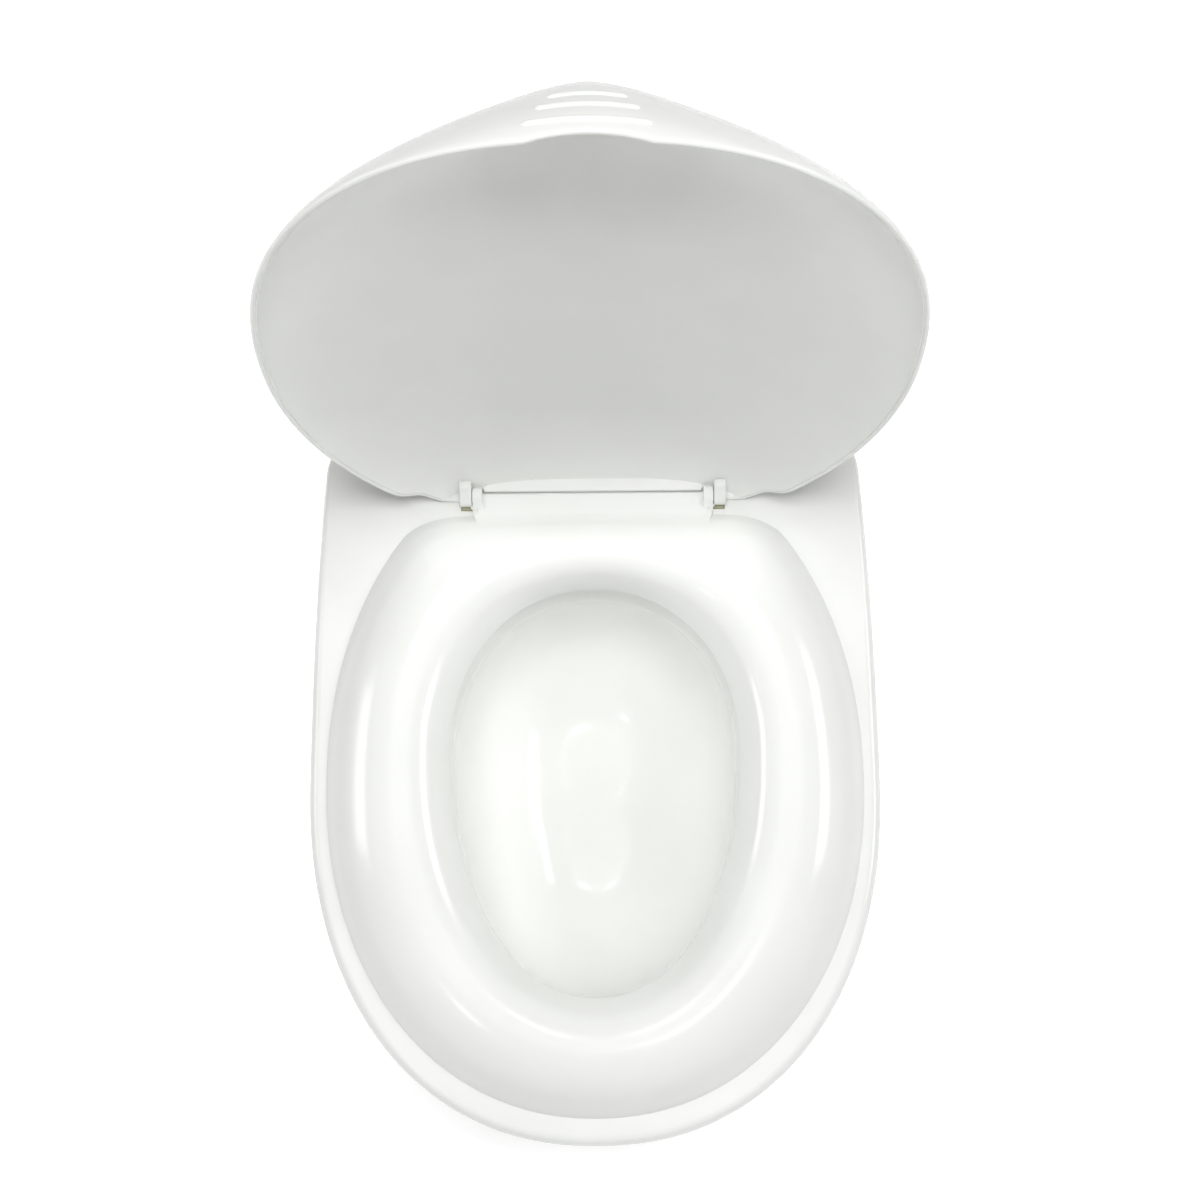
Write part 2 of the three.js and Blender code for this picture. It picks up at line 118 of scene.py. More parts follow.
def even_angles(distance, count, extra=()):
    """Ray angles that space an outline evenly. Each extra is (low x, high x, y, count) of further rays."""
    fine = np.linspace(0, 2 * math.pi, OUTLINE_SAMPLES)
    radius = cast(distance, fine)
    points = np.stack([np.cos(fine) * radius, np.sin(fine) * radius], 1)
    length = np.concatenate([[0], np.cumsum(np.linalg.norm(np.diff(points, axis=0), axis=1))])
    angles = list(np.interp(np.linspace(0, length[-1], count, endpoint=False), length, fine))
    for low, high, rear_y, number in extra:
        for x in np.linspace(low, high, number):
            angles.append(math.atan2(rear_y - POLE_Y, x) % (2 * math.pi))
    angles = np.unique(np.round(angles, 5))
    return angles[np.concatenate([[True], np.diff(angles) > 1e-4])]


def along(angles, radius, z):
    """Points at one radius per ray."""
    z = np.broadcast_to(z, radius.shape)
    return np.stack([np.cos(angles) * radius, POLE_Y + np.sin(angles) * radius, z], 1)


# ---- meshes ----

def to_world(points):
    """From the hinge frame in millimetres to the row frame in metres."""
    return np.asarray(points, float) * MM + np.array([0, HINGE.y, DECK])


def mesh_object(name, points, faces, world=True):
    mesh = bpy.data.meshes.new(name)
    placed = to_world(points) if world else np.asarray(points, float)
    mesh.from_pydata([tuple(p) for p in placed], [], faces)
    mesh.validate()
    mesh.update()
    mesh.shade_smooth()
    obj = bpy.data.objects.new(name, mesh)
    bpy.context.scene.collection.objects.link(obj)
    return obj


def skin(loops, ends_meet):
    """Quads between successive loops. The last loop joins the first, or fans close both ends."""
    count = len(loops[0])
    points = np.concatenate(loops)
    ring = np.arange(count)
    after = (ring + 1) % count
    faces = []
    strips = len(loops) if ends_meet else len(loops) - 1
    for row in range(strips):
        here = row * count
        there = (row + 1) % len(loops) * count
        faces += np.stack([here + ring, here + after, there + after, there + ring], 1).tolist()
    if not ends_meet:
        first = len(points)
        last = (len(loops) - 1) * count
        points = np.concatenate([points, [loops[0].mean(0)], [loops[-1].mean(0)]])
        faces += np.stack([np.full(count, first), after, ring], 1).tolist()
        faces += np.stack([np.full(count, first + 1), last + ring, last + after], 1).tolist()
    return points, faces


def merge(parts):
    """Several (points, faces) as one."""
    points, faces, start = [], [], 0
    for part_points, part_faces in parts:
        points.append(np.asarray(part_points, float))
        faces += [[i + start for i in face] for face in part_faces]
        start += len(part_points)
    return np.concatenate(points), faces


def resample(path, count):
    """Evenly spaced points along a polyline."""
    step = np.linalg.norm(np.diff(path, axis=0), axis=1)
    length = np.concatenate([[0], np.cumsum(step)])
    target = np.linspace(0, length[-1], count)
    return np.stack([np.interp(target, length, path[:, k]) for k in range(path.shape[1])], 1)


def grid_normals(grid):
    """Outward normals of a grid of points indexed [along, ray]."""
    down = np.gradient(grid, axis=0)
    ahead = np.roll(grid, -1, axis=1) - np.roll(grid, 1, axis=1)
    normal = np.cross(down, ahead)
    return normal / np.maximum(np.linalg.norm(normal, axis=2, keepdims=True), 1e-9)


def lathe(profile, sides=64, at=(0, 0, 0), turn=None):
    """A closed turned body from (radius, z) points, the first and last on the axis."""
    angles = np.linspace(0, 2 * math.pi, sides, endpoint=False)
    loops = []
    for radius, z in profile[1:-1]:
        loops.append(np.stack([np.cos(angles) * radius, np.sin(angles) * radius, np.full(sides, z)], 1))
    points, faces = skin(loops, False)
    points[-2:] = [(0, 0, profile[0][1]), (0, 0, profile[-1][1])]
    if turn is not None:
        points = points @ np.array(turn).T
    return points + np.array(at, float), faces


def slab(outline, low_x, high_x, round_edge, steps=4):
    """A plate across X with a convex outline in (y, z) and rounded edges."""
    outline = np.asarray(outline, float)
    ahead = np.roll(outline, -1, axis=0) - np.roll(outline, 1, axis=0)
    inward = np.stack([-ahead[:, 1], ahead[:, 0]], 1)
    inward /= np.maximum(np.linalg.norm(inward, axis=1, keepdims=True), 1e-9)
    turns = np.linspace(0, math.pi / 2, steps + 1)
    edge = [(round_edge * (1 - math.sin(t)), round_edge * (1 - math.cos(t))) for t in turns]
    stations = [(low_x + sunk, inset) for sunk, inset in edge[::-1]]
    stations += [(high_x - sunk, inset) for sunk, inset in edge]
    loops = []
    for x, inset in stations:
        ring = outline + inward * inset
        loops.append(np.column_stack([np.full(len(ring), x), ring]))
    return skin(loops, False)


def block(low, high, edge=0.5, steps=2):
    """A box between two corners with rounded edges along X."""
    (y0, z0), (y1, z1) = low[1:], high[1:]
    outline = []
    for cy, cz, start in ((y1 - edge, z1 - edge, 0), (y0 + edge, z1 - edge, 90),
                          (y0 + edge, z0 + edge, 180), (y1 - edge, z0 + edge, 270)):
        for part in range(steps + 1):
            turn = math.radians(start + 90 * part / steps)
            outline.append((cy + edge * math.cos(turn), cz + edge * math.sin(turn)))
    return slab(outline, low[0], high[0], edge, steps)


def finish_mesh(obj):
    """Faces outward."""
    work = bmesh.new()
    work.from_mesh(obj.data)
    bmesh.ops.recalc_face_normals(work, faces=work.faces)
    work.to_mesh(obj.data)
    work.free()
    return obj


def joined(obj, other):
    """Adds another object's mesh to the first."""
    work = bmesh.new()
    work.from_mesh(obj.data)
    work.from_mesh(other.data)
    work.to_mesh(obj.data)
    work.free()
    bpy.data.objects.remove(other)
    return obj


def cut_away(obj, points, faces):
    """Subtracts a closed shape, given in the hinge frame."""
    cutter = mesh_object("cutter", points, faces)
    finish_mesh(cutter)
    finish_mesh(obj)
    step = obj.modifiers.new("cut", "BOOLEAN")
    step.operation, step.solver, step.object = "DIFFERENCE", "EXACT", cutter
    dg = bpy.context.evaluated_depsgraph_get()
    cut = bpy.data.meshes.new_from_object(obj.evaluated_get(dg))
    obj.modifiers.clear()
    obj.data = cut
    bpy.data.objects.remove(cutter)


# ---- base shell ----

BASE_REAR, BASE_CORNER, BASE_EDGE, BASE_FLARE, BASE_WALL = 46, 30, 5, 4, 3
HOLE_OFFSET = 13.1
PAD_HEIGHT, PAD_INSET = 3, 10
PAD_ANGLES = (-48, -132, 52, 128)
FLOOR = -DECK / MM
RIB_ANGLES = (-135, -90, -45, 0, 42, 90, 138, 180)
RIB_DEPTH, RIB_THICK, RIB_START = 22, 2.4, 6
BUFFER_INNER, BUFFER_OUTER, BUFFER_FRONT, BUFFER_REAR = 63.7, 69.1, -5.7, -3
SOCKET_LOW, SOCKET_HIGH = -8, 4


def base_distance(x, y):
    return rounded_cut(egg_distance(BASE_PLAN, x, y), y - BASE_REAR, BASE_CORNER)


def mouth_distance(x, y):
    return egg_distance(MOUTH_PLAN, x, y)


def pad_places():
    for degrees in PAD_ANGLES:
        angle = np.array([math.radians(degrees)])
        radius = cast(base_distance, angle)[0] + BASE_FLARE - PAD_INSET
        yield math.cos(angle[0]) * radius, POLE_Y + math.sin(angle[0]) * radius


def base_shell():
    angles = even_angles(base_distance, 288)
    outer = cast(base_distance, angles)
    hole = cast(mouth_distance, angles) + HOLE_OFFSET
    foot = FLOOR + PAD_HEIGHT
    turns = np.linspace(0, math.pi / 2, 9)
    loops = [along(angles, hole, -BASE_WALL), along(angles, hole, -0.8),
             along(angles, hole + 0.25, -0.25), along(angles, hole + 0.8, 0)]
    for part in (0.25, 0.5, 0.75):
        loops.append(along(angles, hole + (outer - BASE_EDGE - hole) * part, 0))
    loops.append(along(angles, outer - BASE_EDGE - 0.6, 0))
    for turn in turns:
        across, down = BASE_EDGE * (math.sin(turn) - 1), BASE_EDGE * (math.cos(turn) - 1)
        loops.append(along(angles, outer + across, down))
    drop = foot + BASE_WALL / 2 + BASE_EDGE
    for part in np.linspace(0.04, 1, 14):
        loops.append(along(angles, outer + BASE_FLARE * part, -BASE_EDGE + drop * part))
    for turn in np.linspace(0, math.pi, 9)[1:-1]:
        middle = outer + BASE_FLARE - BASE_WALL / 2
        rise = foot + BASE_WALL / 2 * (1 - math.sin(turn))
        loops.append(along(angles, middle + BASE_WALL / 2 * math.cos(turn), rise))
    for part in np.linspace(1, 0, 8):
        inner = outer - BASE_WALL + BASE_FLARE * part
        loops.append(along(angles, inner, -BASE_EDGE - 1 + (drop + 1) * part))
    loops.append(along(angles, outer - BASE_WALL - 0.7, -BASE_WALL - 0.7))
    loops.append(along(angles, outer - BASE_WALL - 2.2, -BASE_WALL))
    loops.append(along(angles, hole + (outer - hole) * 0.4, -BASE_WALL))
    shell = mesh_object("base_moulding", *skin(loops, True))
    for side in (-1, 1):
        ends = sorted((side * (BUFFER_INNER - GAP), side * (BUFFER_OUTER + GAP)))
        low, high = (ends[0], BUFFER_FRONT - GAP, SOCKET_LOW), (ends[1], BUFFER_REAR + GAP, SOCKET_HIGH)
        cut_away(shell, *block(low, high, 0.2))

    parts = []
    for degrees in RIB_ANGLES:
        angle = np.array([math.radians(degrees)])
        near = cast(mouth_distance, angle)[0] + HOLE_OFFSET + RIB_START
        far = cast(base_distance, angle)[0] - BASE_WALL / 2
        low, high = (near, -RIB_THICK / 2, -BASE_WALL - RIB_DEPTH + 1), (far, RIB_THICK / 2, -1)
        points, faces = block(low, high)
        turn = Matrix.Rotation(angle[0], 3, "Z")
        parts.append((points @ np.array(turn).T + (0, POLE_Y, 0), faces))
    pad_boss = [(0, foot), (8.4, foot), (9, foot + 0.6), (9, foot + 15), (8, foot + 16), (0, foot + 16)]
    for x, y in pad_places():
        parts.append(lathe(pad_boss, 64, (x, y, 0)))
    return finish_mesh(joined(shell, mesh_object("ribs", *merge(parts))))


# ---- pan ----

PAN_SETBACK, PAN_WALL, PAN_FLANGE = 7.5, 2.6, 15
PAN_DEPTH, PAN_TAPER, PAN_RADIUS = 96, 7, 66


def pan_bowl():
    angles = even_angles(mouth_distance, 224)
    mouth = cast(mouth_distance, angles)
    bend_z = -PAN_DEPTH + PAN_RADIUS
    lip = GAP + PAN_WALL
    turns = np.linspace(0, math.pi / 2, 25)

    def wall(offset, radius, top, rows):
        """Down from the lip, round the bend and in to the middle of the floor."""
        found = []
        for part in np.linspace(0, 1, rows):
            inset = PAN_TAPER * part ** 1.6
            found.append(along(angles, mouth + offset - inset, top + (bend_z - top) * part))
        for turn in turns[1:]:
            found.append(along(angles, mouth + offset - PAN_TAPER - radius * (1 - math.cos(turn)),
                               bend_z - radius * math.sin(turn)))
        return found

    inside = wall(PAN_SETBACK, PAN_RADIUS, lip - 1.2, 14)
    outside = wall(PAN_SETBACK + PAN_WALL, PAN_RADIUS + PAN_WALL, GAP - 0.6, 14)
    for group, floor_z in ((inside, -PAN_DEPTH), (outside, -PAN_DEPTH - PAN_WALL)):
        last = group[-1]
        middle = last.mean(0) * (1, 1, 0) + (0, 0, floor_z)
        for part in (0.8, 0.6, 0.4, 0.2):
            group.append(middle + (last - middle) * (part, part, 1))
    edge = mouth + PAN_SETBACK + PAN_FLANGE
    inner = mouth + PAN_SETBACK
    flange = [(inner + 0.35, lip - 0.35), (inner + 1.2, lip), (edge - 0.8, lip), (edge - 0.2, lip - 0.2),
              (edge, lip - 0.8), (edge, GAP + 0.8), (edge - 0.2, GAP + 0.2), (edge - 0.8, GAP),
              (inner + PAN_WALL + 0.8, GAP)]
    rim = [along(angles, radius, z) for radius, z in flange]
    points, faces = skin(inside[::-1] + rim + outside, False)
    return finish_mesh(mesh_object("pan_bowl", points, faces))


# ---- hinge: ears on the ring, knuckles with lugs on the lid ----

BARREL_RADIUS = 5
EAR_INNER, EAR_OUTER, EAR_FRONT, EAR_FOOT = 57.9, 63.1, -8.5, 2.5
EAR_SLOPE = 1.4
KNUCKLE_INNER, KNUCKLE_THICK = 63.4, 6.3
LUG_RADIUS, LUG_AHEAD, LUG_UP = 3.6, 4.6, 3.4
PIN_RADIUS, PIN_INNER = 2, 58.9


def ear_outline():
    """A hinge ear in (y, z): its barrel over a foot that runs forward along the deck."""
    outline = [(BARREL_RADIUS - 1.6, GAP), (BARREL_RADIUS - 1, GAP + 0.6), (BARREL_RADIUS - 1, EAR_FOOT)]
    for degrees in range(-20, 141, 8):
        turn = math.radians(degrees)
        outline.append((BARREL_RADIUS * math.cos(turn), HINGE_RISE + BARREL_RADIUS * math.sin(turn)))
    outline += [(EAR_FRONT + 0.8, EAR_FOOT + 0.3), (EAR_FRONT + 0.2, EAR_FOOT - 0.3),
                (EAR_FRONT, EAR_FOOT - 0.9), (EAR_FRONT, GAP + 0.6), (EAR_FRONT + 0.6, GAP)]
    return outline


def bored(obj):
    """Drills the pin hole through everything near the hinge axis."""
    hole = [(0, -80), (PIN_RADIUS + GAP, -80), (PIN_RADIUS + GAP, 80), (0, 80)]
    across = Matrix.Rotation(math.pi / 2, 3, "Y")
    cut_away(obj, *lathe(hole, 48, (0, 0, HINGE_RISE), across))


# ---- seat ring ----

RING_REAR, RING_CORNER, RING_WALL = -9, 12, 3
RING_TOP = ((0, GAP), (0.03, 4), (0.08, 8.8), (0.16, 14), (0.28, 17.4), (0.45, 18.6),
            (0.62, 17.2), (0.78, 12.6), (0.9, 6.8), (0.97, 2.4), (1, GAP))
TONGUE_HALF, TONGUE_REAR, TONGUE_TOP, TONGUE_EDGE = 62.9, 2.6, 4.6, 1.2
TONGUE_CORNER = 2.5
CROWN_BLEND = 5
MOUTH_MARGIN = 8
EAR_FILLET, FILLET_DROP, FILLET_STOP = 2.4, 0.3, 1.5


def ring_distance(x, y):
    return rounded_cut(egg_distance(RING_PLAN, x, y), y - RING_REAR, RING_CORNER)


def tongue_distance(x, y):
    return rounded_cut(np.abs(x) - TONGUE_HALF, y - TONGUE_REAR, TONGUE_CORNER)


def ring_outline(x, y):
    behind = np.where(y > POLE_Y, tongue_distance(x, y), FAR)
    return np.minimum(ring_distance(x, y), behind)


def ear_fillet(x, y):
    """Height that a fillet adds to the tongue beside each hinge ear."""
    slope = EAR_FOOT + (y - EAR_FRONT) * EAR_SLOPE
    barrel = HINGE_RISE + np.sqrt(np.maximum(BARREL_RADIUS ** 2 - y ** 2, 0))
    ear_top = np.minimum(slope, barrel)
    room = np.clip(ear_top - TONGUE_TOP - FILLET_DROP, 0, EAR_FILLET)
    away = np.clip((EAR_INNER - np.abs(x)) / EAR_FILLET, 0, 1)
    return np.where(np.abs(x) < EAR_OUTER - FILLET_STOP, room * (1 - away) ** 2, 0)


def smooth_profile(points):
    """A Catmull-Rom curve through profile points."""
    knots = np.array([points[0]] + list(points) + [points[-1]], float)
    path = []
    for i in range(1, len(knots) - 2):
        before, here, there, after = knots[i - 1:i + 3]
        for t in np.linspace(0, 1, 40, endpoint=False):
            square = (2 * before - 5 * here + 4 * there - after) * t ** 2
            cube = (3 * here - before - 3 * there + after) * t ** 3
            path.append(0.5 * (2 * here + (there - before) * t + square + cube))
    path.append(knots[-1])
    return np.array(path)


def seat_ring():
    extra = [(-68, -48, -2, 60), (48, 68, -2, 60)]
    angles = even_angles(ring_outline, 288, extra)
    mouth = cast(mouth_distance, angles)
    foot = cast(ring_distance, angles)
    outline = cast(ring_outline, angles)
    width = RING_PLAN["half"] - MOUTH_PLAN["half"]
    profile = smooth_profile([(part * width, rise) for part, rise in RING_TOP])
    columns = []
    for angle, near, ring_end, end in zip(angles, mouth, foot, outline):
        radius = near + (ring_end - near) * profile[:, 0] / width
        rise = profile[:, 1]
        if end > ring_end + 0.05:
            tail = np.linspace(ring_end, end, 60)[1:]
            radius = np.concatenate([radius, tail])
            rise = np.concatenate([rise, np.full(len(tail), GAP)])
            x, y = math.cos(angle) * radius, POLE_Y + math.sin(angle) * radius
            depth = -tongue_distance(x, y)
            edge = 1 - np.clip(depth / TONGUE_EDGE, 0, 1)
            plate = np.where(depth > 0, GAP + (TONGUE_TOP - GAP) * np.sqrt(1 - edge ** 2), GAP)
            plate = plate + ear_fillet(x, y)
            rise = np.where(radius > near + MOUTH_MARGIN, smooth_max(rise, plate, CROWN_BLEND), rise)
            rise[-1] = GAP
        path = np.column_stack([math.cos(angle) * radius, POLE_Y + math.sin(angle) * radius, rise])
        columns.append(resample(path, 84))
    top = np.stack(columns, 1)
    under = top - grid_normals(top) * RING_WALL
    under[:, :, 2] = np.maximum(under[:, :, 2], GAP)
    ring = mesh_object("seat_ring_moulding", *skin(list(top) + list(under[::-1]), True))
    ears = []
    for side in (-1, 1):
        ends = sorted((side * EAR_INNER, side * EAR_OUTER))
        ears.append(slab(ear_outline(), *ends, 0.7))
    ear_pair = mesh_object("ears", *merge(ears))
    bored(ear_pair)
    return finish_mesh(joined(ring, ear_pair))


# ---- lid, drawn shut about its hinge axis ----

RIM_Z = 0.5 - HINGE_RISE
LID_WALL = 2.6
DOME_HEIGHT, DOME_POWER, DOME_ROUNDNESS = 41.9, 3.06, 1.367
DOME_REAR_POWER, DOME_EASE = 2.7, 110
DIP_DEPTH, DIP_HALF, DIP_LENGTH = 6, 55, 45
NOSE_HEIGHT, NOSE_HALF, NOSE_CENTRE = 25.6, 56.4, 285
NOSE_FRONT, NOSE_REAR, NOSE_POWER, NOSE_EDGE_POWER = 58, 55, 1.62, 40
CHORD_REACH, CHORD_BLEND = 5.2, 8
CHORD_LEAN = LID_OPEN - math.pi / 2
NOTCH_HALF, NOTCH_RISE, NOTCH_FROM = 23.5, 3.5, -300
# how far the rear rim rises clear of the deck, of the ears and of their barrels, and between which x
RELIEF_FROM = -60
DECK_RELIEF, DECK_RELIEF_ENDS = 4.3, (104, 88)
EAR_RELIEF, EAR_RELIEF_ENDS = 4.7, (63.8, 62.8)
BARREL_RELIEF, BARREL_RELIEF_ENDS = 1.8, (57.1, 58.1)
RIM_ROUND = 1.2
GRIP_BARS = ((10, 24), (18.3, 19.5), (25.8, 15))
GRIP_RADIUS, GRIP_SINK, GRIP_DROOP = 1.4, 0.4, 1.6


def lid_distance(x, y):
    return egg_distance(LID_PLAN, x, y)


def lid_height(x, y):
    """Top of the lid at x and y, with its flat rear wall blended in."""
    level = np.minimum(egg_level(LID_PLAN, x, y), 1)
    power = DOME_POWER + (DOME_REAR_POWER - DOME_POWER) * smoothstep(0, DOME_EASE, y + LID_PLAN["line"])
    dome = DOME_HEIGHT * (1 - level ** power) ** (1 / DOME_ROUNDNESS)
    dip = DIP_DEPTH * np.exp(-(x / DIP_HALF) ** 2) * smoothstep(-DIP_LENGTH, 0, y)
    length = np.where(-y > NOSE_CENTRE, NOSE_FRONT, NOSE_REAR)
    nose = (NOSE_HEIGHT * np.exp(-np.abs(x / NOSE_HALF) ** NOSE_POWER)
            * np.exp(-((-y - NOSE_CENTRE) / length) ** 2) * np.sqrt(1 - level ** NOSE_EDGE_POWER))
    chord = (CHORD_REACH - y * math.cos(CHORD_LEAN)) / math.sin(CHORD_LEAN)
    return smooth_min(RIM_Z + dome + nose - dip, chord, CHORD_BLEND)


def rim_height(x, y):
    """Lower edge of the lid: a finger notch in front, and reliefs over the hinge behind."""
    side = np.abs(x)
    arc = (NOTCH_HALF ** 2 + NOTCH_RISE ** 2) / (2 * NOTCH_RISE)
    notch = np.sqrt(np.maximum(arc ** 2 - x ** 2, 0)) - arc + NOTCH_RISE
    front = RIM_Z + np.where(y < NOTCH_FROM, np.maximum(notch, 0), 0)
    over_ear = smoothstep(*EAR_RELIEF_ENDS, side)
    over_barrel = smoothstep(*BARREL_RELIEF_ENDS, side) * over_ear
    rear = RIM_Z + DECK_RELIEF * smoothstep(*DECK_RELIEF_ENDS, side)
    rear = rear + EAR_RELIEF * over_ear + BARREL_RELIEF * over_barrel
    return np.where(y > RELIEF_FROM, rear, front)


def lid_normals(points, step=0.02):
    """Outward normals of the lid's top surface, from its slopes."""
    x, y = points[..., 0], points[..., 1]
    across = (lid_height(x + step, y) - lid_height(x - step, y)) / (2 * step)
    ahead = (lid_height(x, y + step) - lid_height(x, y - step)) / (2 * step)
    normal = np.stack([-across, -ahead, np.ones_like(x)], -1)
    return normal / np.linalg.norm(normal, axis=-1, keepdims=True)


def lid_shell():
    extra = [(-100, 100, 5, 200), (-67, -55, 5, 70), (55, 67, 5, 70)]
    front = [math.atan2(-178, x) % (2 * math.pi) for x in np.linspace(-26, 26, 80)]
    angles = np.unique(np.round(np.concatenate([even_angles(lid_distance, 288, extra), front]), 5))

    def above_rim(radius):
        x, y = np.cos(angles) * radius, POLE_Y + np.sin(angles) * radius
        return lid_height(x, y) - rim_height(x, y) - RIM_ROUND

    near = np.full_like(angles, 60.0)
    far = cast(lid_distance, angles)
    for _ in range(HALVINGS):
        middle = (near + far) / 2
        inside = above_rim(middle) > 0
        near = np.where(inside, middle, near)
        far = np.where(inside, far, middle)
    columns = []
    for angle, end in zip(angles, near):
        radius = end * (1 - (1 - np.linspace(0.02, 1, 500)) ** 3)
        x, y = math.cos(angle) * radius, POLE_Y + math.sin(angle) * radius
        columns.append(resample(np.column_stack([x, y, lid_height(x, y)]), 110))
    top = np.stack(columns, 1)
    under = top - lid_normals(top) * LID_WALL
    under[-1, :, 2] = top[-1, :, 2]
    middle, half = (top[-1] + under[-1]) / 2, (top[-1] - under[-1]) / 2
    rim = [middle + half * math.cos(turn) - (0, 0, RIM_ROUND * math.sin(turn))
           for turn in np.linspace(0, math.pi, 9)[1:-1]]
    return skin(list(top) + rim + list(under[::-1]), False)


def nose_front(x, height):
    """How far ahead of the axis the front of the nose has a given height above the rim."""
    near, far = NOSE_CENTRE, LID_PLAN["line"] + LID_PLAN["front"]
    for _ in range(30):
        middle = (near + far) / 2
        if lid_height(x, -middle) - RIM_Z > height:
            near = middle
        else:
            far = middle
    return near


def grip_bar(height, half):
    """A raised bar across the front of the nose, with rounded ends."""
    loops = []
    for part in np.linspace(-1, 1, 49):
        centre = []
        for near_part in (part - 0.01, part, part + 0.01):
            rise = height - GRIP_DROOP * near_part ** 2
            x = near_part * half
            centre.append(Vector((x, GRIP_SINK - nose_front(x, rise), RIM_Z + rise)))
        ahead = (centre[2] - centre[0]).normalized()
        up = Vector((0, 0, 1))
        across = ahead.cross(up).normalized()
        up = across.cross(ahead)
        tip = max(half * (abs(part) - 1) + 2 * GRIP_RADIUS, 0) / (2 * GRIP_RADIUS)
        radius = GRIP_RADIUS * math.sqrt(max(1 - tip ** 2, 0.004))
        turns = np.linspace(0, 2 * math.pi, 24, endpoint=False)
        spokes = [across * math.cos(t) + up * math.sin(t) for t in turns]
        loops.append(np.array([centre[1] + spoke * radius for spoke in spokes]))
    return skin(loops, False)


def stadium(low, low_radius, high, high_radius, steps=20):
    """The outline round two circles in (y, z)."""
    rise, run = high[1] - low[1], high[0] - low[0]
    spread = math.acos((low_radius - high_radius) / math.hypot(rise, run))
    towards = math.atan2(rise, run)
    outline = []
    arcs = ((high, high_radius, towards - spread, towards + spread),
            (low, low_radius, towards + spread, towards - spread + 2 * math.pi))
    for (cy, cz), radius, start, end in arcs:
        for turn in np.linspace(start, end, steps):
            outline.append((cy + radius * math.cos(turn), cz + radius * math.sin(turn)))
    return outline


def lid():
    parts = [lid_shell()]
    for height, half in GRIP_BARS:
        parts.append(grip_bar(height, half))
    points, faces = merge(parts)
    shell = mesh_object("lid_moulding", turned_open(points), faces)
    knuckles = []
    for side in (-1, 1):
        ends = sorted((side * KNUCKLE_INNER, side * (KNUCKLE_INNER + KNUCKLE_THICK)))
        outline = stadium((0, 0), BARREL_RADIUS, (-LUG_AHEAD, LUG_UP), LUG_RADIUS)
        knuckles.append(slab(outline, *ends, 0.8))
    points, faces = merge(knuckles)
    knuckle_pair = mesh_object("lid_knuckles", turned_open(points), faces)
    bored(knuckle_pair)
    return finish_mesh(shell), finish_mesh(knuckle_pair)


def turned_open(points):
    """From the shut lid's own frame, with the axis at its origin, to the open lid in the hinge frame."""
    turn = Matrix.Rotation(-LID_OPEN, 3, "X")
    return points @ np.array(turn).T + (0, 0, HINGE_RISE)


# ---- pins, buffers and foot pads ----

def hinge_pin(side):
    low, high = KNUCKLE_INNER + KNUCKLE_THICK - GAP, PIN_INNER
    half = (low - high) / 2
    ends = [(0, -half), (PIN_RADIUS - 0.4, -half), (PIN_RADIUS - 0.1, 0.1 - half), (PIN_RADIUS, 0.4 - half)]
    profile = ends + [(r, -z) for r, z in ends[::-1]]
    across = Matrix.Rotation(math.pi / 2, 3, "Y")
    points, faces = lathe(profile, 48, (side * (low + high) / 2, 0, HINGE_RISE), across)
    name = "hinge_pin_" + ("left" if side < 0 else "right") + "_turned"
    return finish_mesh(mesh_object(name, points, faces))


def lid_buffer(side):
    """A rubber buffer let into the deck under a lid knuckle, with a shoulder below the deck. Its khaki colour
    is painted shade, standing in for the shadowed gap in front of the knuckle.
    """
    under = -BASE_WALL - GAP
    ends = sorted((side * BUFFER_INNER, side * BUFFER_OUTER))
    head = block((ends[0], BUFFER_FRONT, under - 1), (ends[1], BUFFER_REAR, 0.2), 0.35, 4)
    low, high = (ends[0] - 1, BUFFER_FRONT - 1, under - 2), (ends[1] + 1, BUFFER_REAR + 1, under)
    shoulder = block(low, high, 0.4, 4)
    name = "lid_buffer_" + ("left" if side < 0 else "right") + "_moulded"
    return finish_mesh(mesh_object(name, *merge([head, shoulder])))


def foot_pad(name, x, y):
    """A moulded rubber foot with two grooves in its tread and a plug above."""
    tread = [(0, 0.5), (1.6, 0.5), (1.9, 0.1), (2.2, 0), (3.6, 0), (3.9, 0.1), (4.1, 0.5), (4.7, 0.5),
             (4.9, 0.1), (5.2, 0), (6.9, 0), (7.5, 0.2), (7.9, 0.6), (8, 1), (8, 1.9), (7.8, 2.4), (7.3, 2.7)]
    stem = [(3.2, 2.7), (3, 2.9), (3, 7.6), (2.7, 8.4), (2.3, 8.7), (0, 8.7)]
    return finish_mesh(mesh_object(name, *lathe(tread + stem, 72, (x, y, FLOOR))))


# ---- materials ----

def linear(*srgb):
    """8-bit display values as scene-linear colour."""
    values = [v / 255 for v in srgb]
    return tuple(v / 12.92 if v <= 0.04045 else ((v + 0.055) / 1.055) ** 2.4 for v in values) + (1,)


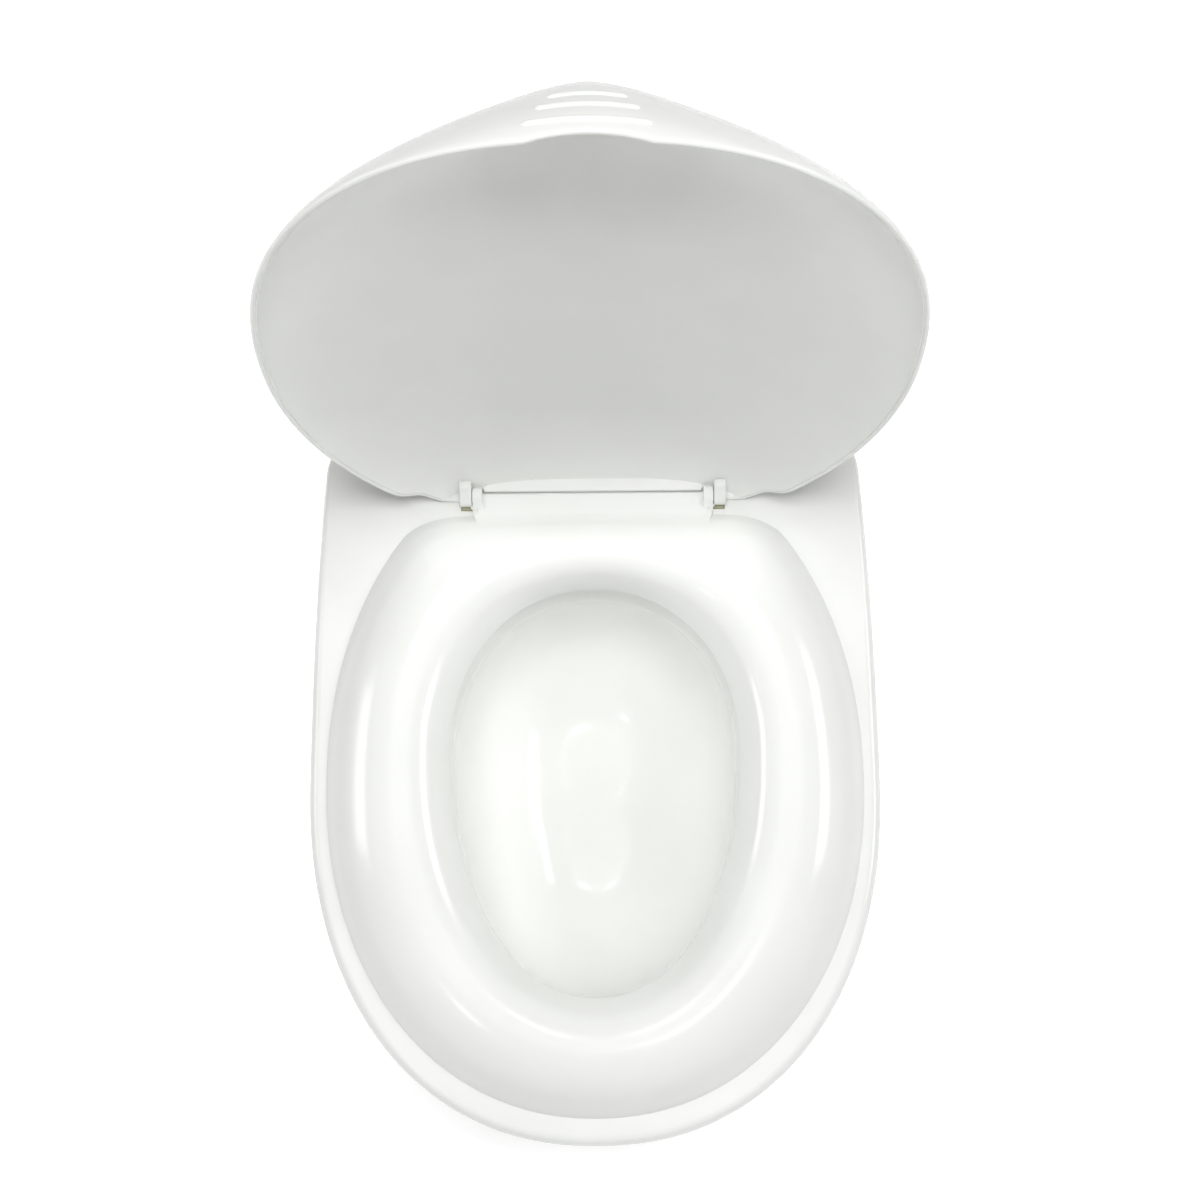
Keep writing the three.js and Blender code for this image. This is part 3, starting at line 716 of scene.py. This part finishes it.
class Nodes:
    """A material's node tree, with the few nodes that the finishes here share."""

    def __init__(self, name):
        self.material = bpy.data.materials.new(name)
        self.material.use_nodes = True
        self.tree = self.material.node_tree
        self.shader = self.tree.nodes["Principled BSDF"]
        self.place = self.add("ShaderNodeTexCoord").outputs["Object"]

    def add(self, kind, **inputs):
        node = self.tree.nodes.new(kind)
        for name, value in inputs.items():
            self.link(value, node.inputs[name.replace("_", " ").title()])
        return node

    def link(self, value, socket):
        if isinstance(value, bpy.types.NodeSocket):
            self.tree.links.new(value, socket)
        else:
            socket.default_value = value

    def set(self, name, value):
        self.link(value, self.shader.inputs[name])

    def noise(self, scale, detail=2.0, stretch=None):
        place = self.place
        if stretch:
            place = self.add("ShaderNodeMapping", vector=place, scale=stretch).outputs[0]
        return self.add("ShaderNodeTexNoise", vector=place, scale=scale, detail=detail).outputs["Fac"]

    def spread(self, value, low, high, new_low, new_high):
        node = self.add("ShaderNodeMapRange", value=value)
        ends = {"From Min": low, "From Max": high, "To Min": new_low, "To Max": new_high}
        for name, number in ends.items():
            node.inputs[name].default_value = number
        return node.outputs[0]

    def mixed(self, factor, first, second):
        node = self.add("ShaderNodeMix")
        node.data_type = "RGBA"
        self.link(factor, node.inputs[0])
        self.link(first, node.inputs[6])
        self.link(second, node.inputs[7])
        return node.outputs[2]

    def bump(self, height, distance, strength=1.0, under=None):
        node = self.add("ShaderNodeBump", height=height, distance=distance, strength=strength)
        if under is not None:
            self.link(under, node.inputs["Normal"])
        return node.outputs[0]


def glossy_plastic(name, colour, cloud, roughness, ripple=1.0):
    """Injection-moulded polypropylene: clouded, with melt-flow ripples, orange peel and rub marks."""
    made = Nodes(name)
    clouding = made.spread(made.noise(14, 3), 0.35, 0.65, 0, 1)
    made.set("Base Color", made.mixed(clouding, cloud, colour))
    rubbed = made.spread(made.noise(60, 6, (1, 9, 1)), 0.45, 0.75, 0, 0.06)
    handled = made.spread(made.noise(9, 4), 0.3, 0.7, -0.015, 0.025)
    total = made.add("ShaderNodeMath")
    made.link(rubbed, total.inputs[0])
    made.link(handled, total.inputs[1])
    lifted = made.add("ShaderNodeMath")
    made.link(total.outputs[0], lifted.inputs[0])
    lifted.inputs[1].default_value = roughness
    made.set("Roughness", lifted.outputs[0])
    flow = made.bump(made.noise(38, 1), 0.00012 * ripple)
    made.set("Normal", made.bump(made.noise(1100, 2), 0.000004, 1.0, flow))
    made.set("IOR", 1.49)
    return made.material


def steel(name, colour, darker, roughness, stretch):
    """Turned or plated steel with fine machining lines."""
    made = Nodes(name)
    made.set("Metallic", 1.0)
    made.set("Base Color", made.mixed(made.noise(240, 3), darker, colour))
    lines = made.noise(700, 4, stretch)
    made.set("Roughness", made.spread(lines, 0.3, 0.7, roughness - 0.06, roughness + 0.1))
    made.set("Normal", made.bump(lines, 0.000006))
    return made.material


def rubber(name, colour, dust_and_painted_shade):
    """Moulded rubber, dusty in its pores. On the lid buffers both colours are painted shade."""
    made = Nodes(name)
    made.set("Base Color", made.mixed(made.noise(300, 5), colour, dust_and_painted_shade))
    made.set("Roughness", made.spread(made.noise(500, 3), 0.3, 0.7, 0.62, 0.85))
    made.set("Normal", made.bump(made.noise(1800, 4), 0.00003))
    made.set("IOR", 1.52)
    return made.material


# ---- assembly ----

def dress(piece, body, node, material):
    piece.data.materials.clear()
    piece.data.materials.append(material)
    piece.data.set_sharp_from_angle(angle=math.radians(38))
    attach(piece, body)
    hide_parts(node)


WHITE, CLOUD = linear(247, 248, 246), linear(243, 244, 241)
SEAT_CLOUD = linear(244, 245, 242)
PAN_WHITE, PAN_CLOUD = linear(249, 250, 248), linear(247, 248, 245)
FINISHES = {
    "base_plastic": glossy_plastic("base polypropylene", WHITE, CLOUD, 0.15),
    "pan_plastic": glossy_plastic("pan polypropylene", PAN_WHITE, PAN_CLOUD, 0.12, 0.8),
    "seat_plastic": glossy_plastic("seat polypropylene", WHITE, SEAT_CLOUD, 0.14),
    "lid_plastic": glossy_plastic("lid polypropylene", WHITE, CLOUD, 0.17),
    "pin_steel": steel("pin steel", linear(205, 207, 210), linear(176, 178, 182), 0.24, (40, 1, 1)),
    # The khaki buffer colours are painted shade: they stand in for the dark, warm shadow in the gap under
    # each lid knuckle.
    "buffer_rubber": rubber("buffer painted shade rubber", linear(184, 181, 146), linear(200, 198, 168)),
    "pad_rubber": rubber("pad rubber", linear(126, 129, 132), linear(152, 155, 157)),
}

dress(base_shell(), "base", "base_shell", FINISHES["base_plastic"])
dress(pan_bowl(), "pan", "pan", FINISHES["pan_plastic"])
dress(seat_ring(), "seat_ring", "seat_ring", FINISHES["seat_plastic"])
for moulding in lid():
    dress(moulding, "lid", "lid", FINISHES["lid_plastic"])
for hand, side in (("left", -1), ("right", 1)):
    dress(hinge_pin(side), "seat_ring", "hinge_pin_" + hand, FINISHES["pin_steel"])
    dress(lid_buffer(side), "base", "lid_buffer_" + hand, FINISHES["buffer_rubber"])
for corner, (x, y) in zip(("front_right", "front_left", "rear_right", "rear_left"), pad_places()):
    node = "foot_pad_" + corner
    dress(foot_pad(node + "_moulded", x, y), "base", node, FINISHES["pad_rubber"])


# ---- studio ----

def studio_floor():
    made = Nodes("studio paper")
    made.set("Base Color", made.mixed(made.noise(3, 2), linear(246, 246, 246), linear(250, 250, 250)))
    made.set("Roughness", made.spread(made.noise(40, 2), 0.3, 0.7, 0.85, 0.95))
    made.set("Emission Color", (1, 1, 1, 1))
    made.set("Emission Strength", 0.35)
    corners = [(-6, -6, 0), (6, -6, 0), (6, 6, 0), (-6, 6, 0)]
    floor = mesh_object("studio_floor", corners, [(0, 1, 2, 3)], world=False)
    floor.data.materials.append(made.material)


LIGHT_AIM = Vector((0, -0.13, 0))
CEILING = 1.9
SPOTS = ((-0.6, -0.7), (0.15, -0.26), (0.16, 0.3), (-0.2, 0.3))


def softbox(name, at, size, radiance, mirrored=True):
    """A rectangular light aimed at the bowl, in metres from the deck under the hinge axis. Its size is
    along the horizontal and up the slope. One that isn't mirrored gives diffuse light only."""
    at = Vector(at)
    origin = Vector((0, HINGE.y, DECK))
    light = bpy.data.lights.new(name, "AREA")
    light.shape = "RECTANGLE"
    light.size, light.size_y = size
    light.energy = radiance * size[0] * size[1] * math.pi
    lamp = bpy.data.objects.new(name, light)
    lamp.location = origin + at
    lamp.rotation_mode = "QUATERNION"
    lamp.rotation_quaternion = (LIGHT_AIM - at).to_track_quat("-Z", "Y")
    lamp.visible_camera = False
    lamp.visible_glossy = mirrored
    bpy.context.scene.collection.objects.link(lamp)


def studio_lights():
    world = bpy.data.worlds.new("studio")
    world.use_nodes = True
    world.node_tree.nodes["Background"].inputs["Color"].default_value = (1, 1, 1, 1)
    world.node_tree.nodes["Background"].inputs["Strength"].default_value = 0.03
    bpy.context.scene.world = world
    softbox("overhead", (0, 0, CEILING), (1.0, 0.8), 8.4, mirrored=False)
    softbox("front_fill", (0, -1.45, 1.0), (1.2, 0.6), 2.4, mirrored=False)
    softbox("right_strip", (1.25, 0.08, 1.1), (0.8, 0.42), 6.4)
    softbox("left_strip", (-1.32, 0.03, 0.8), (0.6, 0.38), 5.2)
    for index, (x, y) in enumerate(SPOTS):
        softbox(f"ceiling_spot_{index + 1}", (x, y, CEILING), (0.08, 0.08), 30)


AIM_RIGHT, AIM_AHEAD, CAMERA_AWAY = 3.3, 54.5, 963.6


def camera():
    elevation, azimuth, roll = math.radians(78), math.radians(-0.2), math.radians(-0.3)
    target = Vector((AIM_RIGHT * MM, HINGE.y - AIM_AHEAD * MM, DECK))
    back = Vector((math.sin(azimuth) * math.cos(elevation), -math.cos(azimuth) * math.cos(elevation),
                   math.sin(elevation)))
    lens = bpy.data.cameras.new("camera")
    lens.lens, lens.sensor_width = 55.41, 36
    lens.clip_start, lens.clip_end = 0.05, 20
    view = bpy.data.objects.new("camera", lens)
    view.location = target + back * CAMERA_AWAY * MM
    view.rotation_mode = "QUATERNION"
    view.rotation_quaternion = (-back).to_track_quat("-Z", "Y") @ Quaternion((0, 0, 1), roll)
    bpy.context.scene.collection.objects.link(view)
    bpy.context.scene.camera = view


camera()
studio_floor()
studio_lights()
bpy.context.scene.view_settings.view_transform = "Standard"
